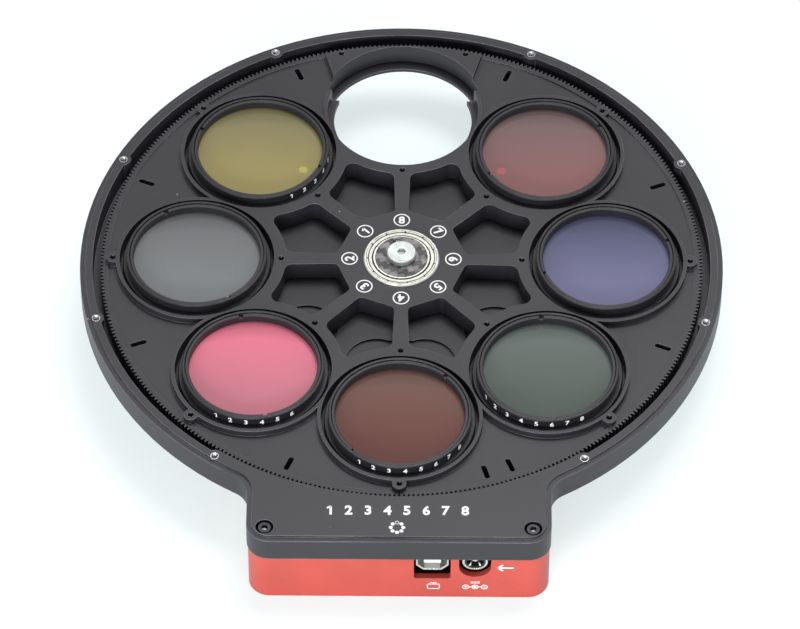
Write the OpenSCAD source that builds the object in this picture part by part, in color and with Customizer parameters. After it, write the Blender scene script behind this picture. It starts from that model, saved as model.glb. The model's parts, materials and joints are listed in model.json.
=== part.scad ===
// Motorised optical filter wheel, shown with its front cover off.
// Heights are counted from the top face of the wheel, and plan places from the wheel's axis.

/* [Wheel] */
// Width of the metal between two neighbouring filter seats
station_land = 0.58; // [0.3:0.02:1.2]
// Distance from the filter seats to the pitch circle of the teeth
rim_land = 6; // [5.6:0.1:6.6]
// Module of the wheel's teeth and of the pinion's
tooth_module = 0.5; // [0.5:0.005:0.52]
// Thickness of the wheel
wheel_t = 7.4; // [7:0.1:9]
// Drop from the wheel's top face to its toothed band
band_drop = 1.9; // [1.2:0.1:2.4]
// Width of the band between the tooth roots and the pockets
band_w = 1.4; // [1:0.1:1.6]
// Depth of the pockets between the stations
pocket_d = 2.5; // [2.4:0.1:3.2]
// Half angle of the thick sector beside the open station
open_sector = 16; // [14:0.5:17]
// How much wider than a seat the open station's outer half is
open_extra = 1.7; // [1.4:0.1:1.9]
// How far the wider half lies outside the station's centre
open_shift = 2; // [1.6:0.1:2.2]
// How far past the station's centre the open station's lip ends
open_lip_end = 9; // [6:0.5:12]

/* [Filter seats] */
// Radial gap between a filter's flange and its seat
seat_gap = 1.15; // [0.8:0.05:1.3]
// Wall of the seat beside a pocket
seat_wall = 1.2; // [1:0.1:1.5]
// Width of the lip under a filter
lip_w = 2.3; // [1.9:0.1:2.4]
// Thickness of the lip under a filter
lip_t = 1.9; // [1.5:0.1:2.2]
// Distance from a filter seat to the middle of its tapped holes
tap_land = 2.3; // [2.1:0.1:2.5]
// Radius of the tapped holes for a filter mask
tap_r = 1.05; // [0.8:0.05:1.2]
// Depth of the tapped holes for a filter mask
tap_depth = 4.5; // [3:0.5:5]
// Radius of the boss round an outer tapped hole
boss_r = 2.4; // [2:0.1:2.6]
// Half angle between the two outer tapped holes of the open station
open_tap_angle = 12.8; // [12.4:0.1:13.2]

/* [Spokes] */
// Distance from the axis to the windows' inner corners
window_in_r = 22; // [21.5:0.1:23]
// Metal left between a filter seat and a window
window_wall = 4; // [3.6:0.1:4.2]
// Width of a spoke at the hub
spoke_w_in = 4.6; // [4:0.1:5.2]
// Width of a spoke at its outer end
spoke_w_out = 5.6; // [5:0.1:6]
// Corner radius of a window at its outer end and its tip
window_fillet = 3; // [2.4:0.1:3.2]
// Corner radius of a window at the hub
hub_fillet = 2.2; // [1.8:0.1:2.6]

/* [Index slots] */
// Distance from the toothed band to the middle of an index slot
slot_in = 4.5; // [4.2:0.1:4.8]
// Length of an index slot
slot_l = 5.8; // [5:0.1:6]
// Width of an index slot
slot_w = 1.8; // [1.4:0.1:2.2]
// Angle between the two slots that mark the home station
home_angle = 5.2; // [4.6:0.1:6]

/* [Filter cells] */
// Radius of a cell's flange
flange_r = 25.35; // [25.2:0.05:25.6]
// Height of a cell's flange
flange_h = 4; // [3.4:0.1:4.6]
// Width of the step from the flange to the threaded neck
flange_step = 1.35; // [1.2:0.05:1.6]
// Height of the neck above the flange
neck_h = 3.7; // [3.2:0.1:4.2]
// Wall of the neck outside its retaining ring
neck_wall = 0.95; // [0.8:0.05:1.1]
// Width of the retaining ring and of the ledge under the glass
retainer_w = 1.35; // [1.2:0.05:1.6]
// How far the thread below the flange lies inside the neck
skirt_in = 0.2; // [0.1:0.05:0.5]
// Length of the thread below the flange
skirt_h = 1.5; // [1:0.1:1.7]
// Thickness of the glass
glass_t = 2; // [1.8:0.1:2.2]
// Depth of the glass below the neck's top edge
glass_depth = 3.3; // [3:0.1:3.6]
// Depth of the retaining ring's face below the neck's top edge
retainer_depth = 0.3; // [0.2:0.05:0.5]
// Chamfer round the edges of the flange and the neck
cell_chamfer = 0.25; // [0.1:0.05:0.4]
// Chamfer on the upper edges of the retaining ring
retainer_chamfer = 0.25; // [0.1:0.05:0.4]
// Wall of the thread below the flange
skirt_wall = 1; // [0.8:0.1:1.2]
// Width of the spanner notches
notch_w = 1.5; // [1.2:0.1:1.8]
// Depth of the spanner notches
notch_d = 1.1; // [0.8:0.1:1.4]

/* [Housing] */
// Gap between the tooth tips and the housing wall
cavity_gap = 2.7; // [2.4:0.1:3.2]
// Thickness of the round wall
rim_wall = 4.3; // [4:0.1:5]
// Thickness of the floor
floor_t = 2; // [1.8:0.1:2.2]
// Width of the ledge round the outside of the wall
ledge_w = 1.7; // [1.4:0.1:2]
// Depth of that ledge
ledge_drop = 0.9; // [0.6:0.1:1.4]
// Distance from the outside of the wall to the tapped holes for the cover
cover_hole_in = 3; // [2.8:0.1:3.2]
// Radius of the tapped holes for the cover
cover_tap_r = 1.25; // [1:0.05:1.3]
// Depth of the tapped holes for the cover
cover_tap_depth = 7; // [5:0.5:7.5]
// Radius of the bosses round those holes
cover_boss_r = 2.6; // [2.3:0.1:2.7]
// Radius of the threaded aperture
aperture_r = 27; // [26.5:0.1:27.4]
// Chamfer under the aperture
aperture_chamfer = 0.4; // [0.2:0.1:0.6]
// Radius of the relieved floor round the aperture
relief_r = 46; // [45:0.5:47]
// Depth of the relieved floor
relief_d = 0.3; // [0.2:0.05:0.5]
// Distances from the light axis to the four adapter screws, in X and in Y
adapter_x = 34.64; // [34:0.1:35.5]
adapter_y = 20; // [19:0.5:21]
// Distances from the light axis to the four small tapped holes, in X and in Y
small_tap_x = 26.5; // [26:0.1:27]
small_tap_y = 15.3; // [15:0.1:16]
// Radius of the adapter screws' holes
adapter_hole_r = 1.6; // [1.4:0.1:1.8]

/* [Tab] */
// Room beside the sensor board, which sets the width of the tab
side_room = 2.6; // [2:0.1:5]
// How far the tab stands out past the round wall
tab_l = 13; // [12.8:0.2:16]
// Radius of the tab's front corners
tab_corner_r = 7.5; // [7:0.1:8]
// Radius where the tab meets the round wall
tab_fillet_r = 8; // [6:0.5:9]
// Thickness of the tab's front wall
tab_wall = 1.7; // [1.5:0.1:1.9]
// Thickness of the tab's top plate
plate_t = 2.5; // [2.2:0.1:2.8]
// Gap in plan between the tooth tips and the plate's curved edge
plate_gap = 1.3; // [1:0.1:2]
// Distances of the two front screws from the tab's sides and from its front
front_screw_in = 6.1; // [5.8:0.1:6.6]
front_screw_back = 5.5; // [5.2:0.1:6.2]

/* [Electronics base] */
// Height of the base below the housing
base_h = 20.2; // [18:0.2:22]
// How far the base's sides lie inside the tab's
base_inset = 0.4; // [0.3:0.05:0.6]
// Distance from the axis to the base's back face
base_back = 8; // [7:0.5:11]
// Thickness of the base's walls
base_wall = 2.2; // [1.8:0.1:2.4]
// Thickness of the base's floor
base_floor = 2; // [1.6:0.1:2.4]
// Distances from the axis to the two rear screws, in X and in Y
rear_screw_x = 32; // [31:0.5:33]
rear_screw_y = 25; // [24:0.5:26]
// Radius of the recess round a rear screw
recess_r = 10.6; // [9:0.2:11]
// Depth of that recess
recess_d = 1; // [0.9:0.05:1.1]
// Distances from the axis to the two joined recesses in the floor, in X and in Y
twin_x = 8.2; // [7:0.1:9]
twin_y = 39.8; // [39:0.1:41]
// How far the middle of the joined recesses is drawn in
twin_waist = 0.8; // [0.4:0.1:1.6]

/* [Hub] */
// Outer radius of the bearing
bearing_r = 13; // [12.8:0.1:13.2]
// Bore radius of the bearing
bearing_bore_r = 8.5; // [8.3:0.05:8.6]
// Width of the bearing
bearing_w = 5; // [4.8:0.05:5.2]
// How far the bearing stands above the wheel
bearing_rise = 0.9; // [0.6:0.05:1]
// Radius of the bearing's balls
ball_r = 1.19; // [1.1:0.01:1.25]
// Number of balls in the bearing
balls = 14; // [11:1:16]
// Width of the lip that the bearing is pressed down to
hub_lip_w = 1; // [0.6:0.1:1.2]
// Chamfer on the edges of both bearing rings
bearing_chamfer = 0.35; // [0.2:0.05:0.5]
// Radius of the carbon washer
washer_r = 8.95; // [8.8:0.05:9.2]
// Thickness of the carbon washer
washer_t = 0.4; // [0.3:0.05:0.6]
// Distance from the axis to the dowel hole in the washer and the post
dowel_hole_at = 6.6; // [6:0.1:6.8]
// Radius of that hole
dowel_hole_r = 1.5; // [1.2:0.1:1.6]
// Radius of the hub screw's head
hub_head_r = 5; // [4.6:0.1:5.4]
// Height of the hub screw's head
hub_head_h = 2.5; // [2:0.1:2.8]
// Height of the narrower collar under that head
hub_collar_h = 0.6; // [0.3:0.1:0.9]
// Thread radius of the hub screw
hub_thread_r = 2.5; // [2.3:0.1:2.6]

/* [Drive] */
// Teeth on the pinion
pinion_teeth = 20; // [20:1:22]
// How far the pinion lies to the left of the axis
pinion_x = 25; // [24:0.5:26]
// Thinning of each gear's teeth at the pitch circle
backlash = 0.05; // [0.04:0.01:0.08]
// Length of the pinion's teeth
pinion_h = 4.3; // [3.8:0.1:4.3]
// Radius of the motor's can
motor_r = 12.5; // [11.5:0.1:12.8]
// Height of the motor's can
motor_h = 12; // [10:0.5:12.5]
// Distance from the motor's axis to its fixing screws
motor_screw_x = 16; // [15.5:0.1:16.4]
// Radius of the motor's shaft
shaft_r = 1; // [0.9:0.05:1.2]

/* [Ports and boards] */
// Distance to the right from the axis to the middle of the USB port
usb_x = 11.1; // [10.8:0.1:11.5]
// Width of the USB port's shell
usb_w = 10.75; // [10.4:0.05:11]
// Height of the USB port's shell
usb_h = 10.9; // [10.6:0.1:11.2]
// Distance to the right from the axis to the middle of the power socket
jack_x = 25.2; // [25:0.1:25.6]
// Outer radius of the power socket's collar
jack_r = 4.2; // [4.1:0.05:4.4]
// Distance from the board down to the middle of the power socket
jack_drop = 6.6; // [6.2:0.1:7]
// Depth of both sockets from front to back
port_l = 12; // [11:0.2:12.2]
// How far the sockets lie behind the base's front face
port_recess = 1.6; // [1.5:0.05:1.7]
// Thickness of the circuit boards
board_t = 1.6; // [1.4:0.1:1.8]
// Height from the main board's top to the plate above it
board_gap = 2.8; // [2.6:0.1:3]
// Gaps beside and below the USB port in its opening
usb_side_gap = 0.7; // [0.4:0.1:1]
usb_low_gap = 2.7; // [2:0.1:3]
// Gaps beside and below the power socket in its opening
jack_side_gap = 1.1; // [0.6:0.1:1.4]
jack_low_gap = 1.8; // [1:0.1:2.2]
// Length of the main board
board_l = 41; // [40:0.5:42]
// Width of the main board
board_w = 11.8; // [11.4:0.1:12]

/* [Clearances] */
// Gap between the wheel's underside and the floor
wheel_gap = 0.6; // [0.5:0.05:0.8]
// Radial gap of a fixed fit
fit_gap = 0.05; // [0.03:0.01:0.08]
// Radial gap of a running fit
run_gap = 0.05; // [0.03:0.01:0.09]
// Gap between loose neighbours
free_gap = 0.3; // [0.2:0.05:0.4]

/* [Hidden] */

$fn = 96;
eps = 0.01;

// Stations are counted counter-clockwise, and the last one, at the back, stays open.
stations = 8;
open_station = 8;
station_step = 360 / stations;
home_station = 4;
function station_angle(n) = 90 + station_step * n;

// The notches of each retaining ring rest where its ring was tightened.
retainer_angle = [157, 120, 102, 47, 95, 20, 31];

// Filter cells and the seats that hold them
seat_r = flange_r + seat_gap;
neck_r = flange_r - flange_step;
bore_r = neck_r - neck_wall;
clear_r = bore_r - retainer_w;
skirt_r = neck_r - skirt_in;
station_r = (seat_r + station_land / 2) / sin(station_step / 2);
tap_offset = seat_r + tap_land;
open_r = seat_r + open_extra;

// Gears
pressure_angle = 20;
wheel_teeth = round(2 * (station_r + seat_r + rim_land) / tooth_module);
wheel_pitch_r = tooth_module * wheel_teeth / 2;
wheel_tip_r = wheel_pitch_r + tooth_module;
wheel_root_r = wheel_pitch_r - 1.25 * tooth_module;
pinion_pitch_r = tooth_module * pinion_teeth / 2;
pinion_tip_r = pinion_pitch_r + tooth_module;
pinion_root_r = pinion_pitch_r - 1.25 * tooth_module;
gear_distance = wheel_pitch_r + pinion_pitch_r;
pinion_y = -sqrt(gear_distance * gear_distance - pinion_x * pinion_x);
mesh_angle = atan2(pinion_y, -pinion_x);

// Plan sizes of the housing
cavity_r = wheel_tip_r + cavity_gap;
rim_r = cavity_r + rim_wall;
cover_hole_r = rim_r - cover_hole_in;
pocket_r = wheel_root_r - band_w;
slot_r = pocket_r - slot_in;
seat_ring_r = seat_r + seat_wall;
lip_r = seat_r - lip_w;
plate_edge_r = wheel_tip_r + plate_gap;

// The home sensor's board lies under the index slots, beside station 4.
sensor_l = 28;
sensor_w = 17;
sensor_x = slot_r * sin(station_step / 2) - 5.7;
sensor_y = 2.7 - slot_r * cos(station_step / 2);
tab_w = 2 * (sensor_x + sensor_l / 2 + side_room + base_wall + base_inset);
tab_reach = rim_r + tab_l;
front_screw_x = tab_w / 2 - front_screw_in;
front_screw_y = tab_reach - front_screw_back;
front_y = -tab_reach;
base_front_y = front_y + base_inset;
port_front_y = base_front_y + port_recess;

// Heights, counted from the wheel's top face
wheel_bottom = -wheel_t;
floor_top = wheel_bottom - wheel_gap;
body_bottom = floor_top - floor_t;
body_h = -body_bottom;
base_bottom = body_bottom - base_h;
seat_z = wheel_bottom + lip_t;
flange_top = seat_z + flange_h;
neck_top = flange_top + neck_h;
glass_top = neck_top - glass_depth;
bearing_top = bearing_rise;
bearing_bottom = bearing_top - bearing_w;
board_top = -plate_t - board_gap;
board_bottom = board_top - board_t;
port_bottom = board_bottom - usb_h;
pinion_top = -plate_t - free_gap - 0.1;
pinion_bottom = pinion_top - pinion_h;
motor_flange_t = 0.8;

// Row frame: the origin is under the middle of the whole part.
axis_y = (tab_reach - rim_r) / 2;
top_z = body_h + base_h;

// ---------- helpers ----------

module at_axis() translate([0, axis_y, top_z]) children();

module at_polar(r, angle) rotate(angle) translate([r, 0, 0]) children();

module slab(z0, z1) translate([0, 0, z0]) linear_extrude(z1 - z0) children();

module rod(r, z0, z1) translate([0, 0, z0]) cylinder(r = r, h = z1 - z0);

module both_sides(x, y) for (side = [-1, 1]) translate([side * x, y, 0]) children();

module four_ways(x, y) for (side = [-1, 1], end = [-1, 1]) translate([side * x, end * y, 0]) children();

// Rectangle with all four corners rounded
module round_box(w, l, r) {
    square([w - 2 * r, l], center = true);
    square([w, l - 2 * r], center = true);
    four_ways(w / 2 - r, l / 2 - r) circle(r);
}

// Cuts the corner at `tip` down to an arc: a and b are where the arc meets the two sides.
// The waste starts past the sides and the arc cuts just into them, so that no sliver is left.
module corner_waste(tip, a, b, centre, r) {
    waste_reach = 1.2;
    function past(p) = centre + (p - centre) * waste_reach;
    difference() {
        polygon([past(tip), past(a), centre, past(b)]);
        translate(centre) circle(r + eps);
    }
}

module cap_screw(head_r, head_h, thread_r, length, socket_r) {
    difference() {
        union() {
            rod(head_r, 0, head_h - 0.3);
            translate([0, 0, head_h - 0.3]) cylinder(r1 = head_r, r2 = head_r - 0.3, h = 0.3);
            rod(thread_r, -length, 0);
        }
        translate([0, 0, head_h * 0.45]) cylinder(r = socket_r, h = head_h, $fn = 6);
    }
}

// ---------- gears ----------

function involute(angle) = tan(angle) * 180 / PI - angle;

// Half of a tooth's angle at radius r
function half_tooth(r, teeth, pitch_r) =
    90 / teeth - backlash / 2 / pitch_r * 180 / PI + involute(pressure_angle)
    - involute(acos(min(1, pitch_r * cos(pressure_angle) / r)));

function on_circle(r, angle) = [r * cos(angle), r * sin(angle)];

// The wheel's flanks are so long in radius that they are straight to a few thousandths.
module wheel_teeth_2d() {
    radii = [wheel_root_r, wheel_tip_r];
    halves = [for (r = radii) half_tooth(r, wheel_teeth, wheel_pitch_r)];
    polygon([for (i = [0:wheel_teeth - 1])
        for (k = [[0, -1], [1, -1], [1, 1], [0, 1]])
            on_circle(radii[k[0]], 360 * i / wheel_teeth + k[1] * halves[k[0]])]);
}

module pinion_teeth_2d() {
    steps = 5;
    base_circle_r = pinion_pitch_r * cos(pressure_angle);
    flank = [for (s = [0:steps]) base_circle_r + (pinion_tip_r - base_circle_r) * s / steps];
    up = [for (r = flank) [r, -half_tooth(r, pinion_teeth, pinion_pitch_r)]];
    down = [for (s = [steps:-1:0]) [flank[s], half_tooth(flank[s], pinion_teeth, pinion_pitch_r)]];
    tooth = concat([[pinion_root_r, up[0][1]]], up, down, [[pinion_root_r, down[steps][1]]]);
    // A gap of the pinion faces the wheel tooth that lies on the line of centres.
    phase = mesh_angle + 180 + mesh_angle * wheel_teeth / pinion_teeth + 180 / pinion_teeth;
    polygon([for (i = [0:pinion_teeth - 1])
        for (p = tooth) on_circle(p[0], phase + 360 * i / pinion_teeth + p[1])]);
}

// ---------- wheel ----------

// One window between two spokes, with its middle line along +X
module window_2d() {
    half = station_step / 2;
    centre = on_circle(station_r, half);
    edge_r = seat_r + window_wall;
    along = on_circle(1, half);
    inward = [sin(half), -cos(half)];
    function beside(distance, offset) = along * distance + inward * offset;
    function mirrored(p) = [p[0], -p[1]];
    w_in = spoke_w_in / 2;
    w_out = spoke_w_out / 2;
    f = window_fillet;
    inner = beside(window_in_r, w_in);
    outer_l = station_r - sqrt(edge_r * edge_r - w_out * w_out);
    outer = beside(outer_l, w_out);
    tip_x = centre[0] - sqrt(edge_r * edge_r - centre[1] * centre[1]);
    // Arc at a window's tip, touching both seat walls
    tip_c = [centre[0] - sqrt(pow(edge_r + f, 2) - centre[1] * centre[1]), 0];
    tip_touch = centre + (tip_c - centre) * edge_r / (edge_r + f);
    // Arc between a spoke and a seat wall
    side = (outer - inner) / norm(outer - inner);
    side_in = [side[1], -side[0]];
    to_c = centre - inner;
    reach = to_c * side;
    off = to_c * side_in;
    outer_c = inner + side * (reach - sqrt(pow(edge_r + f, 2) - pow(f - off, 2))) + side_in * f;
    outer_a = outer_c - side_in * f;
    outer_b = centre + (outer_c - centre) * edge_r / (edge_r + f);
    // Arc between a spoke and the hub
    turn = 90 + atan2(side[1], side[0]);
    hub_d = hub_fillet / tan(turn / 2);
    inner_a = inner + side * hub_d;
    inner_b = inner - [0, hub_d];
    inner_c = inner_a + side_in * hub_fillet;
    difference() {
        polygon([inner, outer, [tip_x, 0], mirrored(outer), mirrored(inner)]);
        for (p = [centre, mirrored(centre)]) translate(p) circle(edge_r);
        corner_waste([tip_x, 0], tip_touch, mirrored(tip_touch), tip_c, f);
        for (m = [0, 1]) mirror([0, m]) {
            corner_waste(outer, outer_a, outer_b, outer_c, f);
            corner_waste(inner, inner_a, inner_b, inner_c, hub_fillet);
        }
    }
}

// The raised face of the wheel: hub, spokes, seat walls and screw bosses
module plateau_2d() {
    half = station_step / 2;
    meet = station_r * cos(half) + sqrt(pow(seat_ring_r, 2) - pow(station_r * sin(half), 2));
    circle(meet - 1);
    for (n = [1:stations]) at_polar(station_r, station_angle(n)) circle(seat_ring_r);
    for (n = [1:stations]) if (n != open_station)
        at_polar(station_r + tap_offset, station_angle(n)) circle(boss_r);
    rotate(station_angle(open_station)) intersection() {
        circle(pocket_r);
        polygon([[0, 0], on_circle(rim_r * 1.2, -open_sector), on_circle(rim_r * 1.2, open_sector)]);
    }
}

module obround_2d(length, width) {
    square([length - width, width], center = true);
    for (side = [-1, 1]) translate([side * (length - width) / 2, 0]) circle(width / 2);
}

module index_slot(angle) at_polar(slot_r, angle)
    slab(wheel_bottom - 1, 0) obround_2d(slot_l, slot_w);

module open_station_cut() {
    rotate(station_angle(open_station)) intersection() {
        translate([station_r + open_shift, 0]) rod(open_r, wheel_bottom - 1, 1);
        translate([station_r + open_lip_end, -open_r, wheel_bottom - 1]) cube([open_r, 2 * open_r, wheel_t + 2]);
    }
}

module wheel() color("#4b4b50") at_axis() difference() {
    union() {
        difference() {
            slab(wheel_bottom, -band_drop) wheel_teeth_2d();
            rod(pocket_r, -pocket_d, 1);
        }
        slab(-pocket_d - eps, 0) plateau_2d();
    }
    for (n = [1:stations]) rotate(station_angle(n)) {
        translate([station_r, 0, 0]) {
            rod(seat_r, seat_z, 1);
            rod(lip_r, wheel_bottom - 1, 1);
        }
        translate([station_r - tap_offset, 0, 0]) rod(tap_r, -tap_depth, 1);
        if (n != open_station) translate([station_r + tap_offset, 0, 0]) rod(tap_r, -tap_depth, 1);
        rotate(station_step / 2) slab(wheel_bottom - 1, 1) window_2d();
    }
    for (side = [-1, 1])
        at_polar(station_r + tap_offset + 0.4, station_angle(open_station) + side * open_tap_angle)
            rod(tap_r, -tap_depth, 1);
    open_station_cut();
    // One slot marks each station, and a second one marks the home station.
    for (n = [1:stations]) index_slot(station_angle(n) + station_step / 2);
    index_slot(station_angle(home_station) + station_step / 2 - home_angle);
    rod(bearing_r + fit_gap, bearing_bottom, 1);
    rod(bearing_r - hub_lip_w, wheel_bottom - 1, 1);
}

// ---------- filter cells ----------

module at_station(n) at_axis() at_polar(station_r, station_angle(n)) children();

module filter_cell(n) color("#3a3b3e") at_station(n) rotate_extrude() {
    c = cell_chamfer;
    ledge_z = glass_top - glass_t;
    skirt_bottom = seat_z - skirt_h;
    skirt_bore_r = skirt_r - skirt_wall;
    polygon([[skirt_bore_r, skirt_bottom], [skirt_r, skirt_bottom], [skirt_r, seat_z],
        [flange_r - c, seat_z], [flange_r, seat_z + c], [flange_r, flange_top - c], [flange_r - c, flange_top],
        [neck_r, flange_top], [neck_r, neck_top - c], [neck_r - c, neck_top], [bore_r, neck_top],
        [bore_r, ledge_z], [clear_r, ledge_z], [clear_r, seat_z], [skirt_bore_r, seat_z]]);
}

module filter_glass(n, tint) color(tint, 0.6) at_station(n)
    rod(bore_r - fit_gap, glass_top - glass_t, glass_top);

// A threaded ring with two spanner notches, chamfered at both of its upper edges
module retaining_ring(n) color("#34353a") at_station(n) {
    c = retainer_chamfer;
    ring_r = bore_r - fit_gap;
    face = neck_top - retainer_depth;
    difference() {
        rotate_extrude() polygon([[clear_r, glass_top], [ring_r, glass_top], [ring_r, face - c],
            [ring_r - c, face], [clear_r + c, face], [clear_r, face - c]]);
        rotate(retainer_angle[n - 1] - station_angle(n)) for (side = [0, 180]) rotate(side)
            translate([clear_r - 1, -notch_w / 2, face - notch_d]) cube([retainer_w + 2, notch_w, notch_d + 1]);
    }
}

// ---------- hub ----------

ball_circle_r = (bearing_r + bearing_bore_r) / 2;
ball_z = bearing_top - bearing_w / 2;
inner_race_r = ball_circle_r - 1.1;
outer_race_r = ball_circle_r + 0.6;
shield_r = outer_race_r + 0.3;
shield_t = 0.3;
shield_inset = 0.2;

module race_groove_2d() translate([ball_circle_r, ball_z]) circle(ball_r + run_gap);

// Half section of a bearing ring between r and its chamfered edge
module race_2d(r, edge, c) {
    in = edge - sign(edge - r) * c;
    polygon([[r, bearing_bottom], [in, bearing_bottom], [edge, bearing_bottom + c], [edge, bearing_top - c],
        [in, bearing_top], [r, bearing_top]]);
}

module bearing_inner() color("#c9cbcd") at_axis() rotate_extrude() difference() {
    race_2d(inner_race_r, bearing_bore_r, bearing_chamfer / 2);
    race_groove_2d();
}

module bearing_outer() color("#c9cbcd") at_axis() rotate_extrude() difference() {
    race_2d(outer_race_r, bearing_r, bearing_chamfer);
    race_groove_2d();
    // Steps that the shields are pressed into
    for (z = [bearing_top - shield_inset - shield_t, bearing_bottom - 1])
        translate([0, z]) square([shield_r, shield_inset + shield_t + 1]);
}

// Balls held by a thin cage
module bearing_balls() color("#aeb1b4") at_axis() {
    cage_w = 0.7;
    cage_h = 1.2;
    for (i = [0:balls - 1]) at_polar(ball_circle_r, 360 * i / balls)
        translate([0, 0, ball_z]) sphere(ball_r, $fn = 32);
    rotate_extrude() translate([ball_circle_r - cage_w / 2, ball_z - cage_h / 2]) square([cage_w, cage_h]);
}

module shield(z0) rotate_extrude()
    translate([inner_race_r + free_gap, z0]) square([shield_r - fit_gap - inner_race_r - free_gap, shield_t]);

module shield_top() color("#d4d6d8") at_axis() shield(bearing_top - shield_inset - shield_t);

module shield_bottom() color("#d4d6d8") at_axis() shield(bearing_bottom + shield_inset);

post_foot_r = 4;
post_shoulder_r = inner_race_r - free_gap;
post_tap_r = 2;
post_tap_depth = 3.4;
hub_tap_depth = 6;
post_top = bearing_top - 0.1;
dowel_angle = 103;
dowel_depth = 3;

module hub_post() color("#8f9296") at_axis() difference() {
    union() {
        rod(bearing_bore_r - fit_gap, floor_top, post_top);
        rod(post_shoulder_r, floor_top, bearing_bottom);
        rod(post_foot_r, body_bottom, floor_top + eps);
    }
    rod(hub_thread_r, post_top - hub_tap_depth, post_top + 1);
    rod(post_tap_r, body_bottom - 1, body_bottom + post_tap_depth);
    at_polar(dowel_hole_at, dowel_angle) rod(dowel_hole_r, post_top - dowel_depth, post_top + 1);
}

module post_screw() color("#6f7276") at_axis() translate([0, 0, body_bottom]) rotate([180, 0, 0])
    cap_screw(head_r = 5.5, head_h = 1.8, thread_r = post_tap_r - fit_gap, length = post_tap_depth - 0.4, socket_r = 1.5);

module washer() color("#2b2c2f") at_axis() difference() {
    rod(washer_r, bearing_top, bearing_top + washer_t);
    rod(hub_thread_r + fit_gap, bearing_top - 1, bearing_top + washer_t + 1);
    at_polar(dowel_hole_at, dowel_angle) rod(dowel_hole_r, bearing_top - 1, bearing_top + washer_t + 1);
}

// The head stands on a narrower collar, and its face is turned in rings.
module hub_screw() color("#d0d2d3") at_axis() translate([0, 0, bearing_top + washer_t]) {
    c = 0.3;
    thread = hub_thread_r - fit_gap;
    collar_r = hub_head_r - 1.4;
    length = hub_tap_depth - 0.8;
    groove_d = 0.12;
    groove_w = 0.25;
    difference() {
        rotate_extrude() polygon([[0, -length], [thread, -length], [thread, 0], [collar_r, 0],
            [collar_r, hub_collar_h], [hub_head_r - c / 2, hub_collar_h], [hub_head_r, hub_collar_h + c / 2],
            [hub_head_r, hub_head_h - c], [hub_head_r - c, hub_head_h], [0, hub_head_h]]);
        for (r = [2.5, 3.3, 4.1]) rotate_extrude()
            translate([r, hub_head_h - groove_d]) square([groove_w, 1]);
        translate([0, 0, hub_head_h * 0.45]) cylinder(r = 1.6, h = hub_head_h, $fn = 6);
    }
}

// ---------- housing ----------

// Plan of the housing, drawn in by `inset` all round
module body_2d(inset) {
    w = tab_w / 2 - inset;
    y = front_y + inset;
    r = tab_corner_r - inset;
    fillet_c = [tab_w / 2 + tab_fillet_r,
        -sqrt(pow(rim_r + tab_fillet_r, 2) - pow(tab_w / 2 + tab_fillet_r, 2))];
    touch = fillet_c * (rim_r - inset) / (rim_r + tab_fillet_r);
    circle(rim_r - inset);
    translate([-w, y + r]) square([2 * w, -y - r]);
    translate([-w + r, y]) square([2 * (w - r), 2 * r]);
    both_sides(w - r, y + r) circle(r);
    for (m = [0, 1]) mirror([m, 0]) difference() {
        polygon([[w, fillet_c[1]], fillet_c, touch, [w - 5, touch[1]]]);
        translate(fillet_c) circle(tab_fillet_r + inset);
    }
}

cover_hole_angles = [25, 65, 105, 145];

module at_cover_holes() for (angle = cover_hole_angles, side = [-1, 1])
    at_polar(cover_hole_r, 90 + side * angle) children();

// The plate over the pinion reaches in to the teeth between the two front cover holes.
module plate_edge_2d() {
    last = cover_hole_angles[3];
    difference() {
        intersection() {
            circle(cavity_r + 1);
            polygon([[0, 0], on_circle(rim_r * 1.5, 90 + last), [-rim_r, -rim_r * 1.5],
                [rim_r, -rim_r * 1.5], on_circle(rim_r * 1.5, 90 - last)]);
        }
        circle(plate_edge_r);
    }
}

module wheel_cavity() difference() {
    rod(cavity_r, floor_top, 1);
    at_cover_holes() rod(cover_boss_r, body_bottom, 2);
    slab(-plate_t, 2) plate_edge_2d();
}

module pinion_pocket() translate([-pinion_x, pinion_y, 0])
    rod(pinion_tip_r + 0.8, floor_top, -plate_t);

board_x = usb_x + (jack_x - usb_x) / 2 - 1.5;
board_y = port_front_y + free_gap + board_w / 2;
board_screw_x = board_l / 2 - 3.2;

module board_cavity() {
    back_y = board_y + board_w / 2 + free_gap;
    inner_front_y = front_y + tab_wall;
    translate([board_x, (back_y + inner_front_y) / 2, 0])
        slab(body_bottom - 1, -plate_t) round_box(board_l + 2 * free_gap, back_y - inner_front_y, 1);
}

module board_posts() translate([board_x, board_y, 0]) both_sides(board_screw_x, 0)
    rod(2.2, board_top, -plate_t + eps);

sensor_screw_dx = sensor_l / 2 - 2.4;
window_l = sensor_l - 10;
window_w = sensor_w - 4;
cable_x = -36.7;
cable_y = -84;
cable_l = 13;
cable_w = 11;

module motor_screw_places() translate([-pinion_x, pinion_y, 0]) both_sides(motor_screw_x, 0) children();

small_thread_r = 1.2;
board_thread_r = 0.95;

module adapter_hole() {
    rod(adapter_hole_r, body_bottom - 1, floor_top + 1);
    head_z = floor_top - relief_d;
    translate([0, 0, head_z - adapter_hole_r]) cylinder(r1 = adapter_hole_r, r2 = 2 * adapter_hole_r, h = adapter_hole_r);
    rod(2 * adapter_hole_r, head_z - eps, floor_top + 1);
}

front_head_r = 2.4;
front_head_h = 3;
front_thread_r = 1.5;
front_screw_l = 14;
rear_screw_l = 8;
screw_sink = 0.4;
rear_head_r = 2.75;
rear_head_h = recess_d;

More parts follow.
